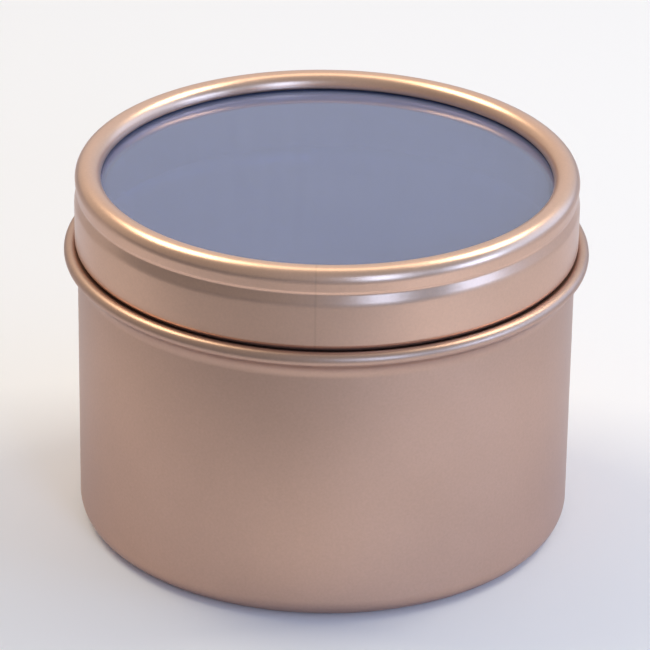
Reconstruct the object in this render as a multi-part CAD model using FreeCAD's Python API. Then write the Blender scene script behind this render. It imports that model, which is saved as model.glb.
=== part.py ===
import FreeCAD, Part
import math
import os

# A round drawn tin with a slip-on window lid. Millimetres and degrees, +Z up, base centred on the origin.

# Whole tin
wall_radius = 36.5         # outside of the straight wall
bead_height = 42.4         # centre of the bead above the base
lid_height = 12.54         # lower edge of the lid's skirt to the crest of its rim
gauge = 0.25               # sheet thickness of body and lid

# Base
base_corner = 3.0          # outside radius between base and wall
standing_ring = 1.5        # width of the flat ring that the tin stands on
base_recess = 0.6          # how far the base panel is raised above that ring
base_step_bend = 1.0       # outside radius of both bends between ring and panel

# Bead and neck
bead_proud = 2.0           # how far the bead stands out from the wall
bead_bend = 1.05           # outside radius of the bead's nose
flare_bend = 3.0           # hollow radius between wall and bead
groove_slope = 43.0        # fall of the bead's top towards the neck
mouth_fold = 0.55          # inside radius of the curl at the mouth
mouth_turn = 270.0         # how far that curl is rolled

# Lid skirt
lid_overhang = 0.4         # how far the skirt stands out from the body's wall
skirt_fold = 1.1           # inside radius of the curl at the skirt's lower edge
skirt_curl_tail = 0.5      # straight end of that curl
slip_clearance = 0.15      # radial gap between the skirt's curl and the neck
seat_gap = 0.3             # height of the skirt's curl above the groove
shoulder_drop = 5.65       # crest of the rim down to where the skirt turns in
shoulder_bend = 3.2        # outside radius of that turn
shoulder_lean = 13.0       # inward lean of the shoulder
shoulder_run = 1.1         # straight length of the shoulder
crease_bend = 0.7          # hollow radius of the crease above the shoulder
crease_lean = 25.0         # outward lean of the sheet where it leaves the crease
lip_bend = 0.7             # outside radius of the lip above the crease
band_lean = 5.0            # outward lean of the band between lip and rim

# Lid rim and window
rim_width = 3.9            # outside of the skirt in to the window's edge
rim_fall = 0.05            # straight drop of the rim's inner side, down to the hem
hem_fold = 0.15            # inside radius of the hem round the window
hem_land = 1.5             # flat land of that hem, turned back under the rim
glue_thickness = 0.25
glue_inset = 0.2           # glue's edges in from both edges of the land
pane_gauge = 0.3
pane_margin = 0.45         # how far the pane reaches past the land
mouth_gap = 0.35           # room between the mouth's curl and the pane

# Outside radii of the folds, and the radii of the round pieces
mouth_bend = mouth_fold + gauge
skirt_bend = skirt_fold + gauge
hem_bend = hem_fold + gauge
lid_radius = wall_radius + lid_overhang
neck_radius = lid_radius - 2 * skirt_bend - slip_clearance
bead_radius = wall_radius + bead_proud
window_radius = lid_radius - rim_width


def sin(degrees):
    return math.sin(math.radians(degrees))


def cos(degrees):
    return math.cos(math.radians(degrees))


def tan(degrees):
    return math.tan(math.radians(degrees))


def step_angle(step, first_bend, second_bend):
    """Turn of two opposite bends that together shift a sheet sideways by one step."""
    return math.degrees(math.acos(1 - step / (first_bend + second_bend)))


class SheetSection:
    """A sheet followed along its outside face, in the plane of radius and height.

    The heading is in degrees: 0 points away from the axis, 90 points up. The inside face lies one sheet
    thickness to the left, so a left bend is tighter inside and a right bend is wider inside.
    """

    def __init__(self, radius, height, heading):
        self.radius = radius
        self.height = height
        self.heading = heading
        self.faces = {0.0: [], gauge: []}
        self.start = self.cut()

    def spot(self, depth):
        """The point at this depth in the sheet, square to where the path now stands."""
        radius = self.radius - depth * sin(self.heading)
        height = self.height + depth * cos(self.heading)
        return FreeCAD.Vector(radius, 0, height)

    def cut(self):
        """The two corners of the sheet's edge at this place."""
        return self.spot(0.0), self.spot(gauge)

    def run(self, length):
        before = {depth: self.spot(depth) for depth in self.faces}
        self.radius += length * cos(self.heading)
        self.height += length * sin(self.heading)
        for depth, edges in self.faces.items():
            edges.append(Part.LineSegment(before[depth], self.spot(depth)).toShape())

    def bend(self, bend_radius, turn):
        """Bend the sheet round an outside radius: left for a positive turn, right for a negative one."""
        reach = math.copysign(bend_radius, turn)
        centre_radius = self.radius - reach * sin(self.heading)
        centre_height = self.height + reach * cos(self.heading)
        points = {depth: [self.spot(depth)] for depth in self.faces}
        for _ in range(2):
            self.heading += turn / 2
            self.radius = centre_radius + reach * sin(self.heading)
            self.height = centre_height - reach * cos(self.heading)
            for depth, places in points.items():
                places.append(self.spot(depth))
        for depth, edges in self.faces.items():
            edges.append(Part.Arc(*points[depth]).toShape())

    def solid(self):
        """Close the sheet's two cut edges and spin the section about the tin's axis."""
        outside = self.faces[0.0]
        inside = self.faces[gauge]
        start_edge = Part.LineSegment(*self.start).toShape()
        end_edge = Part.LineSegment(*self.cut()).toShape()
        outline = Part.Wire(outside + [end_edge] + inside[::-1] + [start_edge])
        return spin(Part.Face(outline))


def spin(face):
    return face.revolve(FreeCAD.Vector(0, 0, 0), FreeCAD.Vector(0, 0, 1), 360)


def ring(inner_radius, outer_radius, bottom, top):
    """A flat ring, or a disc where the inner radius is nothing."""
    outline = Part.makePolygon([
        FreeCAD.Vector(inner_radius, 0, bottom),
        FreeCAD.Vector(outer_radius, 0, bottom),
        FreeCAD.Vector(outer_radius, 0, top),
        FreeCAD.Vector(inner_radius, 0, top),
        FreeCAD.Vector(inner_radius, 0, bottom),
    ])
    return spin(Part.Face(outline))


# The groove behind the bead fills the room between the bead's nose and the neck.
groove_room = bead_radius - bead_bend - neck_radius
groove_bend = (groove_room - bead_bend * sin(groove_slope)) / (1 + sin(groove_slope))
groove_bottom = bead_height + (bead_bend + groove_bend) * cos(groove_slope) - groove_bend

# The lid sits just above the groove.
skirt_bottom = groove_bottom + seat_gap
lid_top = skirt_bottom + lid_height

# Above the skirt the sheet leans in over the shoulder, and out again through the crease and the lip.
lip_top = (lid_top - shoulder_drop
           + shoulder_bend * sin(shoulder_lean) + shoulder_run * cos(shoulder_lean)
           + crease_bend * (sin(shoulder_lean) + sin(crease_lean))
           + lip_bend * (sin(crease_lean) - sin(band_lean)))
lip_radius = (lid_radius
              - shoulder_bend * (1 - cos(shoulder_lean)) - shoulder_run * sin(shoulder_lean)
              + crease_bend * (cos(shoulder_lean) - cos(crease_lean))
              + lip_bend * (cos(band_lean) - cos(crease_lean)))

# The rim is a half round that fills the room between the top of the leaning band and the window's edge.
rim_room = lip_radius - window_radius + (lid_top - lip_top) * tan(band_lean)
rim_bend = rim_room / (1 + cos(band_lean) + (1 + sin(band_lean)) * tan(band_lean))
band_run = (lid_top - lip_top - rim_bend * (1 + sin(band_lean))) / cos(band_lean)
hem_centre_radius = window_radius + hem_bend
land_radius = hem_centre_radius + hem_land
land_height = lid_top - rim_bend - rim_fall - hem_bend

# The pane hangs from the land by its glue, and the neck's mouth stays below the pane.
glue_bottom = land_height - glue_thickness
pane_bottom = glue_bottom - pane_gauge
mouth_top = pane_bottom - mouth_gap


def tin_body():
    """The drawn cup, from the middle of its base out to the wall, up over the bead and into the mouth's curl."""
    ring_outer = wall_radius - base_corner
    step_turn = step_angle(base_recess, base_step_bend, base_step_bend)
    panel_radius = ring_outer - standing_ring - 2 * base_step_bend * sin(step_turn)
    flare_turn = step_angle(bead_proud, flare_bend, bead_bend)
    flare_bottom = bead_height - (flare_bend + bead_bend) * sin(flare_turn)
    groove_top = groove_bottom + groove_bend

    sheet = SheetSection(0, base_recess, 0)
    sheet.run(panel_radius)
    sheet.bend(base_step_bend, -step_turn)
    sheet.bend(base_step_bend, step_turn)
    sheet.run(standing_ring)
    sheet.bend(base_corner, 90)
    sheet.run(flare_bottom - base_corner)
    sheet.bend(flare_bend, -flare_turn)
    sheet.bend(bead_bend, 90 + flare_turn + groove_slope)
    sheet.bend(groove_bend, -90 - groove_slope)
    sheet.run(mouth_top - mouth_bend - groove_top)
    sheet.bend(mouth_bend, mouth_turn)
    return sheet.solid()


def lid_shell():
    """The pressed lid, from the curl under its skirt up to the rim and in to the hem round the window."""
    curl_height = skirt_bottom + skirt_bend
    skirt_run = lid_top - shoulder_drop - curl_height

    sheet = SheetSection(lid_radius - 2 * skirt_bend, curl_height + skirt_curl_tail, 270)
    sheet.run(skirt_curl_tail)
    sheet.bend(skirt_bend, 180)
    sheet.run(skirt_run)
    sheet.bend(shoulder_bend, shoulder_lean)
    sheet.run(shoulder_run)
    sheet.bend(crease_bend, -shoulder_lean - crease_lean)
    sheet.bend(lip_bend, crease_lean - band_lean)
    sheet.run(band_run)
    sheet.bend(rim_bend, band_lean + 180)
    sheet.run(rim_fall)
    sheet.bend(hem_bend, 90)
    sheet.run(hem_land)
    return sheet.solid()


def window_glue_ring():
    """The adhesive between the hem's flat land and the pane."""
    return ring(hem_centre_radius + glue_inset, land_radius - glue_inset, glue_bottom, land_height)


def window_pane():
    """The clear disc under the land."""
    return ring(0, land_radius + pane_margin, pane_bottom, glue_bottom)


os.makedirs("parts", exist_ok=True)
for piece in (tin_body, lid_shell, window_glue_ring, window_pane):
    shape = piece()
    shape.exportStep("parts/" + piece.__name__ + ".step")
    box = shape.optimalBoundingBox()
    print(piece.__name__, "valid", shape.isValid(), "solids", len(shape.Solids), "volume", round(shape.Volume, 1),
          "radius", round(box.XMax, 3), "from", round(box.ZMin, 3), "to", round(box.ZMax, 3))
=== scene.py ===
# %% [markdown]
# # A window lid tin
# The object is a small round tin of thin pressed metal with a slip-on lid, and the lid's top is almost
# all clear window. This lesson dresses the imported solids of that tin: it spins the two sheets again with
# finer bends, gives every surface its finish, and sets a camera and soft lights round it.

# %% Load the frame
import math
import bmesh
import bpy
from mathutils import Matrix, Vector


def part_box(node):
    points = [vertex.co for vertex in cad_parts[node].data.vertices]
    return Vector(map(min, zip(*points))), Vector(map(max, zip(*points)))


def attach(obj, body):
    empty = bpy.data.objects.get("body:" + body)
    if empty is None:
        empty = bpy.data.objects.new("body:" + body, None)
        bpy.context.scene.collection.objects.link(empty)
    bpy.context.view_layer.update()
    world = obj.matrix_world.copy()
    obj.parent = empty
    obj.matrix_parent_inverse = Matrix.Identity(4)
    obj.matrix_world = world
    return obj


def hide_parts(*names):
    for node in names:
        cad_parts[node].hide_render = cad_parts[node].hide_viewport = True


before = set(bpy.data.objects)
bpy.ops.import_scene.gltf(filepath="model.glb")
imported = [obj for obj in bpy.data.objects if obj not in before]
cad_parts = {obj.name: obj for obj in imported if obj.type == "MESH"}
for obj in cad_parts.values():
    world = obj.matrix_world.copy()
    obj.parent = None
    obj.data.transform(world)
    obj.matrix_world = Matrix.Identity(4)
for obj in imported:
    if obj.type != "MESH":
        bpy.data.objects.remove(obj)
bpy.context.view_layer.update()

# %% [markdown]
# ## The camera
# The tin was seen from about 26 degrees above the table through a long lens, which keeps its wall almost
# parallel. A camera could be placed by eye, but a place, a point to look at and a lens say it exactly.
# The roll is small, because the camera wasn't held quite level.

# %% Camera
camera_place = Vector((0.0, -0.56883, 0.30827))
camera_aim = Vector((-0.0000455, 0.0, 0.0294035))
camera_roll = math.radians(0.848)
camera_lens = 236.81
camera_sensor = 36.0

scene = bpy.context.scene
scene.view_settings.view_transform = "Standard"
camera_data = bpy.data.cameras.new("camera")
camera_data.sensor_width = camera_sensor
camera_data.lens = camera_lens
camera = bpy.data.objects.new("camera", camera_data)
scene.collection.objects.link(camera)
camera_turn = (camera_aim - camera_place).to_track_quat("-Z", "Y").to_matrix()
camera_turn = camera_turn @ Matrix.Rotation(camera_roll, 3, "Z")
camera.matrix_world = Matrix.Translation(camera_place) @ camera_turn.to_4x4()
scene.camera = camera
print("camera", round((camera_aim - camera_place).length, 3), "m from the tin")

# %% [markdown]
# ## Node helpers
# Materials and shape trees are both made of nodes. They could be wired one by one, but a few small
# helpers keep the later cells short. The first cell's helpers add a node, fill a socket and do
# arithmetic. The second cell's are for finishes: a noise, a colour ramp, an eased range, a bump and an
# empty material.


# %% Helpers for nodes
def add_node(tree, kind, settings=None, **inputs):
    """Add a node, set its own properties, and fill inputs by name with a value or another node's output."""
    node = tree.nodes.new(kind)
    for name, value in (settings or {}).items():
        setattr(node, name, value)
    for name, value in inputs.items():
        fill(tree, node.inputs[name.replace("_", " ")], value)
    return node


def fill(tree, socket, value):
    """Give a socket a plain value, or link it to another node's output."""
    if isinstance(value, bpy.types.NodeSocket):
        tree.links.new(value, socket)
    else:
        socket.default_value = value


def maths(tree, operation, first, second=None):
    """One arithmetic node, as an output socket."""
    node = tree.nodes.new("ShaderNodeMath")
    node.operation = operation
    fill(tree, node.inputs[0], first)
    if second is not None:
        fill(tree, node.inputs[1], second)
    return node.outputs[0]


def scaled(tree, source, span, least):
    """A value times a span, on top of a least value, as an output socket."""
    return maths(tree, "ADD", maths(tree, "MULTIPLY", source, span), least)


print("node helpers ready")


# %% Helpers for finishes
def noise(tree, place, scale, detail):
    """A noise over the piece, as an output socket. A scale of 1000 gives lumps of about a millimetre."""
    return add_node(tree, "ShaderNodeTexNoise", Vector=place, Scale=scale, Detail=detail).outputs["Fac"]


def eased(tree, value, from_low, from_high, to_low, to_high):
    """A value led smoothly from one range to another, as an output socket."""
    node = add_node(tree, "ShaderNodeMapRange", {"interpolation_type": "SMOOTHSTEP"}, Value=value,
                    From_Min=from_low, From_Max=from_high, To_Min=to_low, To_Max=to_high)
    return node.outputs["Result"]


def colour_ramp(tree, factor, first, *middle, last):
    """A ramp through coloured stops, each a position and a colour, as an output socket."""
    node = add_node(tree, "ShaderNodeValToRGB", Fac=factor)
    stops = node.color_ramp.elements
    for stop, (position, colour) in zip(stops, (first, last)):
        stop.position = position
        stop.color = (*colour, 1)
    for position, colour in middle:
        stops.new(position).color = (*colour, 1)
    return node.outputs["Color"]


def new_material(name):
    """An empty node material with its shader and output, and the place that its patterns follow."""
    material = bpy.data.materials.new(name)
    material.use_nodes = True
    tree = material.node_tree
    tree.nodes.clear()
    shader = tree.nodes.new("ShaderNodeBsdfPrincipled")
    output = tree.nodes.new("ShaderNodeOutputMaterial")
    tree.links.new(shader.outputs["BSDF"], output.inputs["Surface"])
    place = add_node(tree, "ShaderNodeTexCoord").outputs["Object"]
    return material, tree, shader, place


fine_relief = 0.0001


def add_bump(tree, shader, height, strength, relief=fine_relief):
    """Let a height tilt the light on a surface. The relief is its depth in metres."""
    bump = add_node(tree, "ShaderNodeBump", Height=height, Strength=strength, Distance=relief)
    fill(tree, shader.inputs["Normal"], bump.outputs["Normal"])


print("finish helpers ready")

# %% [markdown]
# ## Rose-gold lacquer
# The outside of tin and lid wears a satin metallic lacquer in pink copper. A flat metal colour would look
# like plastic, so three noises at real sizes break it up. A fine one is the metal flake, a middle one the
# orange peel of sprayed lacquer, and a wide one the uneven spray. The press also leaves one faint upright
# line on each piece, where the lacquer lies thicker. Metallic stays below 1, because lacquer has a body
# colour of its own, and Specular Tint dulls and cools the metal where it is seen at a glancing angle.

# %% Lacquer
flake_scale, peel_scale, spray_scale = 2600.0, 1000.0, 70.0
lacquer_metallic = 0.86
lacquer_edge = (0.70, 0.74, 0.82, 1)
lacquer_uneven = 0.06
line_half_width = 0.007
line_depth = 0.4


def upright_line(tree, place, angle):
    """1 on a line up the wall at an angle from the front, and 0 beside it."""
    spot = add_node(tree, "ShaderNodeSeparateXYZ", Vector=place).outputs
    bearing = maths(tree, "ARCTAN2", spot["X"], maths(tree, "MULTIPLY", spot["Y"], -1.0))
    aside = maths(tree, "ABSOLUTE", maths(tree, "SUBTRACT", bearing, math.radians(angle)))
    return eased(tree, aside, 0.0, line_half_width, 1.0, 0.0)


def rose_gold_lacquer(name, thick_colour, thin_colour, smoothest, line_angle):
    material, tree, shader, place = new_material(name)
    flake = noise(tree, place, flake_scale, 2.0)
    peel = noise(tree, place, peel_scale, 2.0)
    spray = noise(tree, place, spray_scale, 3.0)
    line = upright_line(tree, place, line_angle)
    # lighter where flakes lie flat, redder where the lacquer is thick
    mottle = maths(tree, "ADD", maths(tree, "MULTIPLY", flake, 0.5), maths(tree, "MULTIPLY", spray, 0.5))
    shade = maths(tree, "SUBTRACT", mottle, maths(tree, "MULTIPLY", line, line_depth))
    colour = colour_ramp(tree, shade, (0.2, thick_colour), last=(0.8, thin_colour))
    fill(tree, shader.inputs["Base Color"], colour)
    fill(tree, shader.inputs["Roughness"], scaled(tree, spray, lacquer_uneven, smoothest))
    shader.inputs["Metallic"].default_value = lacquer_metallic
    shader.inputs["Specular Tint"].default_value = lacquer_edge
    grain = maths(tree, "ADD", maths(tree, "MULTIPLY", flake, 0.4), peel)
    add_bump(tree, shader, maths(tree, "SUBTRACT", grain, line), 0.08)
    return material


tin_lacquer = rose_gold_lacquer("rose_gold_lacquer_tin", thick_colour=(0.57, 0.372, 0.28),
                                thin_colour=(0.675, 0.445, 0.342), smoothest=0.36, line_angle=165)
# painted light: the lid's copy of the same lacquer is about a third lighter than the tin's, to brighten the
# lid
lid_lacquer_lightened = rose_gold_lacquer("rose_gold_lacquer_lid_lightened", thick_colour=(0.78, 0.505, 0.37),
                                thin_colour=(0.90, 0.59, 0.44), smoothest=0.27, line_angle=-2.2)
print("made", tin_lacquer.name, lid_lacquer_lightened.name)

# %% [markdown]
# ## Bare metal inside
# Inside, the sheet is plain satin tinplate. Drawing the cup leaves faint upright streaks. They could be
# modelled, but they are far too shallow to show as shape, so a noise is stretched in height: wide steps
# up the wall, narrow steps round it.

# %% Inside metal
streak_scale = 420.0
streak_stretch = (1.0, 1.0, 0.06)


def bare_tinplate(name):
    material, tree, shader, place = new_material(name)
    stretched = add_node(tree, "ShaderNodeMapping", Vector=place, Scale=streak_stretch).outputs["Vector"]
    streak = noise(tree, stretched, streak_scale, 3.0)
    colour = colour_ramp(tree, streak, (0.3, (0.50, 0.50, 0.51)), last=(0.7, (0.58, 0.58, 0.585)))
    fill(tree, shader.inputs["Base Color"], colour)
    fill(tree, shader.inputs["Roughness"], scaled(tree, streak, 0.16, 0.40))
    shader.inputs["Metallic"].default_value = 1.0
    add_bump(tree, shader, streak, 0.05)
    return material


inside_metal = bare_tinplate("bare_tinplate")
print("made", inside_metal.name)

# %% [markdown]
# ## Clear sheet and glue
# The window is a thin stiff plastic sheet with a blue cast and a little haze, glossy, and never perfectly
# flat. Clear glass would look too clean, so some of the sheet's colour stays on its surface, a wide noise
# clouds it, and a faint wide bump bends what it mirrors. The glue under its edge is a cloudy set adhesive,
# coloured dark grey-blue: that is painted shade, standing in for the shadowed gap under the rim's hem.

# %% Window finishes
wave_scale, haze_scale, cloud_scale = 45.0, 600.0, 900.0
wave_relief = 0.001


def clear_sheet(name):
    material, tree, shader, place = new_material(name)
    wave = noise(tree, place, wave_scale, 1.0)
    haze = noise(tree, place, haze_scale, 3.0)
    clouding = maths(tree, "ADD", maths(tree, "MULTIPLY", haze, 0.3), maths(tree, "MULTIPLY", wave, 0.7))
    colour = colour_ramp(tree, clouding, (0.25, (0.485, 0.55, 0.845)), last=(0.75, (0.525, 0.59, 0.885)))
    fill(tree, shader.inputs["Base Color"], colour)
    shader.inputs["Transmission Weight"].default_value = 0.75
    shader.inputs["IOR"].default_value = 1.5
    fill(tree, shader.inputs["Roughness"], scaled(tree, haze, 0.03, 0.02))
    add_bump(tree, shader, wave, 0.03, wave_relief)
    return material


def dark_painted_glue(name):
    material, tree, shader, place = new_material(name)
    cloud = noise(tree, place, cloud_scale, 4.0)
    # dark grey-blue: painted shade, for the shadowed gap under the rim's hem
    colour = colour_ramp(tree, cloud, (0.0, (0.16, 0.16, 0.19)), last=(1.0, (0.26, 0.26, 0.30)))
    fill(tree, shader.inputs["Base Color"], colour)
    shader.inputs["Transmission Weight"].default_value = 0.5
    fill(tree, shader.inputs["Roughness"], scaled(tree, cloud, 0.3, 0.25))
    add_bump(tree, shader, cloud, 0.3)
    return material


clear_pane = clear_sheet("clear_pane_sheet")
glue_painted_shade = dark_painted_glue("clear_glue_painted_shade")
print("made", clear_pane.name, glue_painted_shade.name)

# %% [markdown]
# ## A sheet's section
# Tin and lid are bent from sheet. Their outlines could be drawn point by point, but the honest way is the
# way a press makes them: straight runs and bends. The path follows the outside face, the heading is 0
# away from the axis and 90 upwards, and the inside face lies one gauge to the left. Each run keeps extra
# points close to its ends, so that smooth shading doesn't bleed from a bend into the flat beside it.

# %% Sheet path
millimetre = 0.001
gauge = 0.25
bend_step = 6.0
run_step = 4.0
run_hold = 0.04


def sin(degrees):
    return math.sin(math.radians(degrees))


def cos(degrees):
    return math.cos(math.radians(degrees))


def tan(degrees):
    return math.tan(math.radians(degrees))


class SheetPath:
    """The section of a bent sheet, as points of its outside and inside faces."""

    def __init__(self, radius, height, heading):
        self.radius, self.height, self.heading = radius, height, heading
        self.outside, self.inside = [], []
        self.mark()

    def mark(self):
        self.outside.append((self.radius, self.height))
        inner_radius = self.radius - gauge * sin(self.heading)
        inner_height = self.height + gauge * cos(self.heading)
        self.inside.append((max(inner_radius, 0.0), inner_height))

    def run(self, length):
        steps = max(1, math.ceil(length / run_step))
        stops = [length * step / steps for step in range(1, steps + 1)]
        if length > 4 * run_hold:
            stops = [run_hold] + stops[:-1] + [length - run_hold, length]
        start_radius, start_height = self.radius, self.height
        for stop in stops:
            self.radius = start_radius + stop * cos(self.heading)
            self.height = start_height + stop * sin(self.heading)
            self.mark()

    def bend(self, bend_radius, turn):
        reach = math.copysign(bend_radius, turn)
        centre_radius = self.radius - reach * sin(self.heading)
        centre_height = self.height + reach * cos(self.heading)
        steps = max(3, math.ceil(abs(turn) / bend_step))
        for _ in range(steps):
            self.heading += turn / steps
            self.radius = centre_radius + reach * sin(self.heading)
            self.height = centre_height - reach * cos(self.heading)
            self.mark()

    def loop(self):
        """All points in order: up the outside, over the cut edge and back along the inside."""
        return self.outside + self.inside[::-1]


print("sheet of", gauge, "mm, bent in steps of", bend_step, "degrees")

# %% [markdown]
# ## The tin's section
# These are the sizes of the tin's solid, in millimetres. The cup starts at the middle of its base, steps
# down to the ring it stands on, turns up into the wall, swells into the bead and ends in a curl inside
# the mouth.

# %% Tin section
wall_radius = 36.5
bead_height = 42.4
base_corner, standing_ring, base_recess, base_step_bend = 3.0, 1.5, 0.6, 1.0
bead_proud, bead_bend, flare_bend, groove_slope = 2.0, 1.05, 3.0, 43.0
mouth_bend, mouth_turn = 0.80, 270.0
neck_radius = 34.05
mouth_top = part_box("tin_body")[1][2] / millimetre


def step_angle(step, first_bend, second_bend):
    """Turn of two opposite bends that together shift a sheet sideways by one step."""
    return math.degrees(math.acos(1 - step / (first_bend + second_bend)))


groove_room = wall_radius + bead_proud - bead_bend - neck_radius
groove_bend = (groove_room - bead_bend * sin(groove_slope)) / (1 + sin(groove_slope))
groove_bottom = bead_height + (bead_bend + groove_bend) * cos(groove_slope) - groove_bend
step_turn = step_angle(base_recess, base_step_bend, base_step_bend)
flare_turn = step_angle(bead_proud, flare_bend, bead_bend)
panel_radius = wall_radius - base_corner - standing_ring - 2 * base_step_bend * sin(step_turn)
flare_bottom = bead_height - (flare_bend + bead_bend) * sin(flare_turn)

tin_path = SheetPath(0, base_recess, 0)
tin_path.run(panel_radius)
tin_path.bend(base_step_bend, -step_turn)
tin_path.bend(base_step_bend, step_turn)
tin_path.run(standing_ring)
tin_path.bend(base_corner, 90)
tin_path.run(flare_bottom - base_corner)
tin_path.bend(flare_bend, -flare_turn)
tin_path.bend(bead_bend, 90 + flare_turn + groove_slope)
tin_path.bend(groove_bend, -90 - groove_slope)
tin_path.run(mouth_top - mouth_bend - groove_bottom - groove_bend)
tin_path.bend(mouth_bend, mouth_turn)
print("tin section:", len(tin_path.loop()), "points, widest", round(max(r for r, _ in tin_path.outside), 3))

# %% [markdown]
# ## The lid's section
# The lid is followed from the curl under its skirt: up the skirt, in over the shoulder, out through a
# tight crease and lip, up the band, over the half-round rim and down its inner side to the hem that
# frames the window.

# %% Lid section
lid_radius = 36.9
skirt_bend, skirt_curl_tail = 1.35, 0.5
shoulder_drop, shoulder_bend, shoulder_lean, shoulder_run = 5.65, 3.2, 13.0, 1.1
crease_bend, crease_lean, lip_bend, band_lean = 0.7, 25.0, 0.7, 5.0
rim_width, rim_fall = 3.9, 0.05
hem_bend, hem_land = 0.40, 1.5
skirt_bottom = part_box("lid_shell")[0][2] / millimetre
lid_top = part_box("lid_shell")[1][2] / millimetre

lid_path = SheetPath(lid_radius - 2 * skirt_bend, skirt_bottom + skirt_bend + skirt_curl_tail, 270)
lid_path.run(skirt_curl_tail)
lid_path.bend(skirt_bend, 180)
lid_path.run(lid_top - shoulder_drop - skirt_bottom - skirt_bend)
lid_path.bend(shoulder_bend, shoulder_lean)
lid_path.run(shoulder_run)
lid_path.bend(crease_bend, -shoulder_lean - crease_lean)
lid_path.bend(lip_bend, crease_lean - band_lean)
window_radius = lid_radius - rim_width
band_rise = lid_top - lid_path.height
rim_room = lid_path.radius - window_radius + band_rise * tan(band_lean)
rim_bend = rim_room / (1 + cos(band_lean) + (1 + sin(band_lean)) * tan(band_lean))
lid_path.run((band_rise - rim_bend * (1 + sin(band_lean))) / cos(band_lean))
lid_path.bend(rim_bend, band_lean + 180)
lid_path.run(rim_fall)
lid_path.bend(hem_bend, 90)
lid_path.run(hem_land)
print("lid section:", len(lid_path.loop()), "points, top", round(max(z for _, z in lid_path.outside), 3),
      "land at", round(lid_path.height, 3))

# %% [markdown]
# ## A tree that spins a section
# Every piece of this tin is round, so one rule shapes them all: sweep a section about the upright axis.
# The Spin operator could do it by hand, and the Screw modifier too. A Geometry Nodes tree keeps it
# editable and can also say which faces are lacquered. It bends a flat grid: its columns pick the
# section's points, and its rows turn.


# %% Spinning tree
def spinning_tree():
    tree = bpy.data.node_groups.new("spin a section", "GeometryNodeTree")
    ids = {}
    for name, kind in (("Section", "NodeSocketGeometry"), ("Section points", "NodeSocketInt"),
                       ("Strip points", "NodeSocketInt"), ("Outside points", "NodeSocketInt"),
                       ("Steps round", "NodeSocketInt"), ("Sharp angle", "NodeSocketFloat"),
                       ("Merge distance", "NodeSocketFloat"),
                       ("Outside finish", "NodeSocketMaterial"), ("Inside finish", "NodeSocketMaterial")):
        ids[name] = tree.interface.new_socket(name=name, in_out="INPUT", socket_type=kind).identifier
    tree.interface.new_socket(name="Piece", in_out="OUTPUT", socket_type="NodeSocketGeometry")
    given = tree.nodes.new("NodeGroupInput").outputs
    columns = maths(tree, "SUBTRACT", given["Strip points"], 1.0)
    grid = add_node(tree, "GeometryNodeMeshGrid", Size_X=1.0, Size_Y=1.0, Vertices_X=given["Strip points"],
                    Vertices_Y=maths(tree, "ADD", given["Steps round"], 1.0))
    position = add_node(tree, "GeometryNodeInputPosition").outputs[0]
    place = add_node(tree, "ShaderNodeSeparateXYZ", Vector=position)
    column = maths(tree, "MULTIPLY", maths(tree, "ADD", place.outputs["X"], 0.5), columns)
    turn = maths(tree, "MULTIPLY", maths(tree, "ADD", place.outputs["Y"], 0.5), math.tau)
    # faces of the outside run come first along the strip
    is_outside = maths(tree, "LESS_THAN", column, maths(tree, "SUBTRACT", given["Outside points"], 1.0))
    marked = add_node(tree, "GeometryNodeStoreNamedAttribute", {"data_type": "BOOLEAN", "domain": "FACE"},
                      Geometry=grid.outputs["Mesh"], Name="lacquered", Value=is_outside)
    point = maths(tree, "MODULO", maths(tree, "ROUND", column), given["Section points"])
    spot = add_node(tree, "GeometryNodeSampleIndex", {"data_type": "FLOAT_VECTOR", "domain": "POINT"},
                    Geometry=given["Section"], Index=point,
                    Value=add_node(tree, "GeometryNodeInputPosition").outputs[0])
    turned = add_node(tree, "ShaderNodeVectorRotate", {"rotation_type": "Z_AXIS"},
                      Vector=spot.outputs[0], Angle=turn)
    swept = add_node(tree, "GeometryNodeSetPosition", Geometry=marked.outputs[0], Position=turned.outputs[0])
    closed = add_node(tree, "GeometryNodeMergeByDistance", Geometry=swept.outputs[0],
                      Distance=given["Merge distance"])
    smooth = add_node(tree, "GeometryNodeSetShadeSmooth", {"domain": "FACE"}, Geometry=closed.outputs[0],
                      Shade_Smooth=True)
    edge = add_node(tree, "GeometryNodeInputMeshEdgeAngle").outputs["Unsigned Angle"]
    crisp = add_node(tree, "GeometryNodeSetShadeSmooth", {"domain": "EDGE"}, Geometry=smooth.outputs[0],
                     Selection=maths(tree, "GREATER_THAN", edge, given["Sharp angle"]), Shade_Smooth=False)
    real = add_node(tree, "GeometryNodeRealizeInstances", Geometry=crisp.outputs[0])
    inner = add_node(tree, "GeometryNodeSetMaterial", Geometry=real.outputs[0],
                     Material=given["Inside finish"])
    mark = add_node(tree, "GeometryNodeInputNamedAttribute", {"data_type": "BOOLEAN"}, Name="lacquered")
    outer = add_node(tree, "GeometryNodeSetMaterial", Geometry=inner.outputs[0],
                     Selection=mark.outputs["Attribute"], Material=given["Outside finish"])
    result = tree.nodes.new("NodeGroupOutput")
    tree.links.new(outer.outputs[0], result.inputs[0])
    return tree, ids


spin_tree, spin_ids = spinning_tree()
print("spinning tree:", len(spin_tree.nodes), "nodes")

# %% [markdown]
# ## From section to piece
# The tree needs the section as points, its numbers by socket identifier, and two finishes. Afterwards the
# result is copied to a plain mesh, because the lesson's other steps want simple pieces without modifiers.

# %% Spin helper
steps_round = 256
sharp_angle = math.radians(40)
merge_distance = 1e-6


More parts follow.
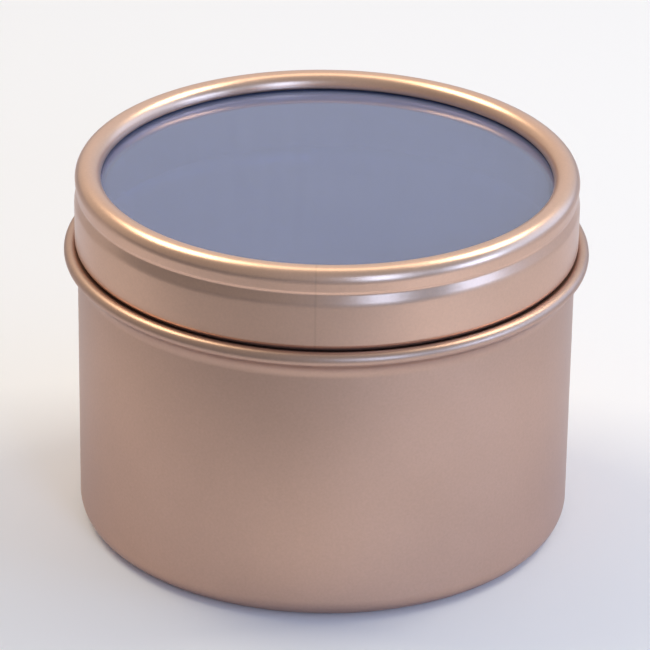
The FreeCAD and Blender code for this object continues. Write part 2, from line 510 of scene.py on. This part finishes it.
def spin(name, points, outside_count, outside_finish, inside_finish, closed):
    """Spin a section given in millimetres into a plain mesh piece."""
    section = bpy.data.meshes.new(name + "_section")
    section.from_pydata([(r * millimetre, 0.0, z * millimetre) for r, z in points], [], [])
    worker = bpy.data.objects.new(name + "_section", section)
    scene.collection.objects.link(worker)
    modifier = worker.modifiers.new("spin", "NODES")
    modifier.node_group = spin_tree
    values = {"Section points": len(points), "Strip points": len(points) + (1 if closed else 0),
              "Outside points": outside_count, "Steps round": steps_round, "Sharp angle": sharp_angle,
              "Merge distance": merge_distance, "Outside finish": outside_finish,
              "Inside finish": inside_finish}
    for label, value in values.items():
        modifier[spin_ids[label]] = value
    bpy.context.view_layer.update()
    depsgraph = bpy.context.evaluated_depsgraph_get()
    mesh = bpy.data.meshes.new_from_object(worker.evaluated_get(depsgraph), depsgraph=depsgraph)
    bpy.data.objects.remove(worker)
    mesh.name = name
    # the evaluated mesh can carry an empty first slot, so the slots are laid again from the faces in use
    finishes = [mesh.materials[face.material_index] for face in mesh.polygons]
    slots = list(dict.fromkeys(finishes))
    mesh.materials.clear()
    for finish in slots:
        mesh.materials.append(finish)
    mesh.polygons.foreach_set("material_index", [slots.index(finish) for finish in finishes])
    shape = bmesh.new()
    shape.from_mesh(mesh)
    bmesh.ops.recalc_face_normals(shape, faces=shape.faces)
    volume = shape.calc_volume(signed=True)
    open_edges = sum(not edge.is_manifold for edge in shape.edges)
    shape.to_mesh(mesh)
    shape.free()
    piece = bpy.data.objects.new(name, mesh)
    scene.collection.objects.link(piece)
    triangles = sum(len(face.vertices) - 2 for face in mesh.polygons)
    print(name, triangles, "triangles,", round(volume * 1e9, 1), "mm3,", open_edges, "open edges,",
          [m.name for m in mesh.materials])
    return piece


# %% [markdown]
# ## Tin and lid
# Both sheets are spun, and take the place of the plain solids. The cup's section is open, because both
# its ends lie on the axis; the lid's is a closed loop.

# %% Tin and lid pieces
tin = spin("drawn_tin", tin_path.loop(), len(tin_path.outside), tin_lacquer, inside_metal, closed=False)
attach(tin, "tin")
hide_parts("tin_body")

lid = spin("pressed_lid", lid_path.loop(), len(lid_path.outside), lid_lacquer_lightened, inside_metal, closed=True)
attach(lid, "lid")
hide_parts("lid_shell")

# %% [markdown]
# ## Window and glue
# The window is a disc with its edge just broken, and the glue is a flat ring with rounded sides. Their
# sizes are read from the solids, so they sit exactly where the solids do.


# %% Window pieces
def half_round(centre_radius, low, high, outward):
    """Points of a rounded edge between two heights, from low to high."""
    reach = (high - low) / 2
    middle = (high + low) / 2
    side = 1 if outward else -1
    return [(centre_radius + side * reach * cos(a), middle + reach * sin(a)) for a in range(-90, 91, 15)]


pane_low, pane_high = (corner[2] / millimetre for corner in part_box("window_pane"))
pane_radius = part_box("window_pane")[1][0] / millimetre
edge_break = 0.05
flat_radius = pane_radius - 3 * edge_break
pane_points = [(0.0, pane_low), (flat_radius, pane_low), (pane_radius - edge_break, pane_low),
               (pane_radius, pane_low + edge_break), (pane_radius, pane_high - edge_break),
               (pane_radius - edge_break, pane_high), (flat_radius, pane_high), (0.0, pane_high)]
pane = spin("window_sheet", pane_points, len(pane_points), clear_pane, clear_pane, closed=False)
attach(pane, "lid")
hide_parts("window_pane")

glue_low, glue_high = (corner[2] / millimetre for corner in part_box("window_glue_ring"))
glue_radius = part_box("window_glue_ring")[1][0] / millimetre
glue_setback = 0.2
glue_inner = window_radius + hem_bend + glue_setback
glue_round = (glue_high - glue_low) / 2
glue_points = half_round(glue_radius - glue_round, glue_low, glue_high, True)
glue_points += half_round(glue_inner + glue_round, glue_low, glue_high, False)[::-1]
glue = spin("window_glue", glue_points, len(glue_points), glue_painted_shade, glue_painted_shade, closed=True)
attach(glue, "lid")
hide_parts("window_glue_ring")

# %% [markdown]
# ## Floor
# The tin stands on a plain pale sheet of paper. It fills the whole background, because the camera looks
# down. Metal is only as light as what it mirrors, and the wall mirrors the table in front of it. So the
# paper is pale round the tin, and painted shade darkens it further out: towards the front along a line
# turned a little, and to both sides. This painted shade stands in for light falling off away from the tin.

# %% Floor
floor_reach = 4.0
paper_tone = 0.93
# painted shade: the front fade ends at this tone, and the sides keep this share of the paper's tone
front_shade_tone = 0.34
front_turn = math.radians(22)
front_far, front_near = -0.132, -0.052
side_near, side_far, side_shade_share = 0.082, 0.14, 0.60

floor_mesh = bpy.data.meshes.new("floor")
floor_mesh.from_pydata([(-floor_reach, -floor_reach, 0), (floor_reach, -floor_reach, 0),
                        (floor_reach, floor_reach, 0), (-floor_reach, floor_reach, 0)], [], [(0, 1, 2, 3)])
floor = bpy.data.objects.new("floor", floor_mesh)
scene.collection.objects.link(floor)


def pale_paper_painted_shade(name):
    material, tree, shader, place = new_material(name)
    turned = add_node(tree, "ShaderNodeVectorRotate", {"rotation_type": "Z_AXIS"}, Vector=place,
                      Angle=front_turn).outputs[0]
    depth = add_node(tree, "ShaderNodeSeparateXYZ", Vector=turned).outputs["Y"]
    aside = maths(tree, "ABSOLUTE", add_node(tree, "ShaderNodeSeparateXYZ", Vector=place).outputs["X"])
    # painted shade: the paper darkens towards the front and to the sides, for light falling off away from
    # the tin
    front_painted_shade = eased(tree, depth, front_far, front_near, front_shade_tone, paper_tone)
    side_painted_shade = eased(tree, aside, side_near, side_far, 1.0, side_shade_share)
    paper_and_painted_shade = maths(tree, "MULTIPLY", front_painted_shade, side_painted_shade)
    grey = add_node(tree, "ShaderNodeCombineColor", Red=paper_and_painted_shade, Green=paper_and_painted_shade, Blue=paper_and_painted_shade)
    fill(tree, shader.inputs["Base Color"], grey.outputs[0])
    shader.inputs["Roughness"].default_value = 0.9
    shader.inputs["Specular IOR Level"].default_value = 0.2
    add_bump(tree, shader, noise(tree, place, 2500.0, 2.0), 0.02)
    return material


floor_mesh.materials.append(pale_paper_painted_shade("pale_paper_painted_shade"))
print("floor", 2 * floor_reach, "m wide")

# %% [markdown]
# ## Lights
# A backdrop goes first. The world shows it to the eye, to metal and to clear sheet alike: pale behind the
# tin, dim in front of it, warm on the left and cool on the right. To everything else the world is an even
# fill. Six soft boxes then stand round the tin. Two warm ones, left and right and a little behind, make
# the gold crests on rim and bead. A weak one overhead fills the back. Two cool ones at the right front
# make the lilac streaks on the lid, and a wide dim one, low on the right, cools that side of the wall.

# %% World
room_front, room_back = 0.37, 0.80
room_turn_front, room_turn_back = -0.45, 0.95
fill_colour, fill_strength = (0.72, 0.77, 1.0, 1), 0.43
left_tint, middle_tint, right_tint = (0.80, 0.75, 0.67), (0.97, 0.97, 0.97), (0.74, 0.88, 1.04)

world = bpy.data.worlds.new("studio")
scene.world = world
world.use_nodes = True
world_tree = world.node_tree
world_tree.nodes.clear()
rays = add_node(world_tree, "ShaderNodeLightPath").outputs
mirrored = maths(world_tree, "MAXIMUM", rays["Is Glossy Ray"], rays["Is Transmission Ray"])
seen = maths(world_tree, "MAXIMUM", rays["Is Camera Ray"], mirrored)
direction = add_node(world_tree, "ShaderNodeTexCoord").outputs["Generated"]
sides = add_node(world_tree, "ShaderNodeSeparateXYZ", Vector=direction).outputs
room = eased(world_tree, sides["Y"], room_turn_front, room_turn_back, room_front, room_back)
rightward = scaled(world_tree, sides["X"], 0.5, 0.5)
tint = colour_ramp(world_tree, rightward, (0.15, left_tint), (0.5, middle_tint), last=(0.85, right_tint))
backdrop = add_node(world_tree, "ShaderNodeBackground", Color=tint, Strength=room)
room_fill = add_node(world_tree, "ShaderNodeBackground", Color=fill_colour, Strength=fill_strength)
world_mix = add_node(world_tree, "ShaderNodeMixShader", Fac=seen)
world_tree.links.new(room_fill.outputs[0], world_mix.inputs[1])
world_tree.links.new(backdrop.outputs[0], world_mix.inputs[2])
world_out = world_tree.nodes.new("ShaderNodeOutputWorld")
world_tree.links.new(world_mix.outputs[0], world_out.inputs["Surface"])
print("world:", len(world_tree.nodes), "nodes")

# %% Soft boxes
light_aim = Vector((0, 0, 0.03))
warm, pale, cool = (1.0, 0.89, 0.65), (1.0, 0.92, 0.74), (0.38, 0.60, 1.0)


def soft_box(name, azimuth, elevation, distance, width, height, brightness, colour):
    """An area light aimed at the tin. Azimuth 0 is the camera's side, and grows to the right."""
    light = bpy.data.lights.new(name, "AREA")
    light.shape = "RECTANGLE"
    light.size, light.size_y = width, height
    light.energy = brightness * math.pi * width * height
    light.color = colour
    lamp = bpy.data.objects.new(name, light)
    scene.collection.objects.link(lamp)
    away = Vector((sin(azimuth) * cos(elevation), -cos(azimuth) * cos(elevation), sin(elevation)))
    lamp.matrix_world = (Matrix.Translation(light_aim + distance * away)
                         @ (-away).to_track_quat("-Z", "Y").to_matrix().to_4x4())


soft_box("warm_left", -118, 57, 0.70, 0.30, 0.27, 7.0, warm)
soft_box("pale_right", 114, 53, 0.70, 0.30, 0.27, 6.8, pale)
soft_box("warm_back", 180, 78, 0.70, 0.40, 0.28, 1.2, warm)
soft_box("cool_strip", 24, 16, 0.70, 0.17, 0.42, 5.0, cool)
soft_box("cool_side", 67, 8, 0.70, 0.26, 0.26, 5.0, cool)
soft_box("right_low", 105, 16, 0.80, 0.90, 0.46, 1.15, cool)
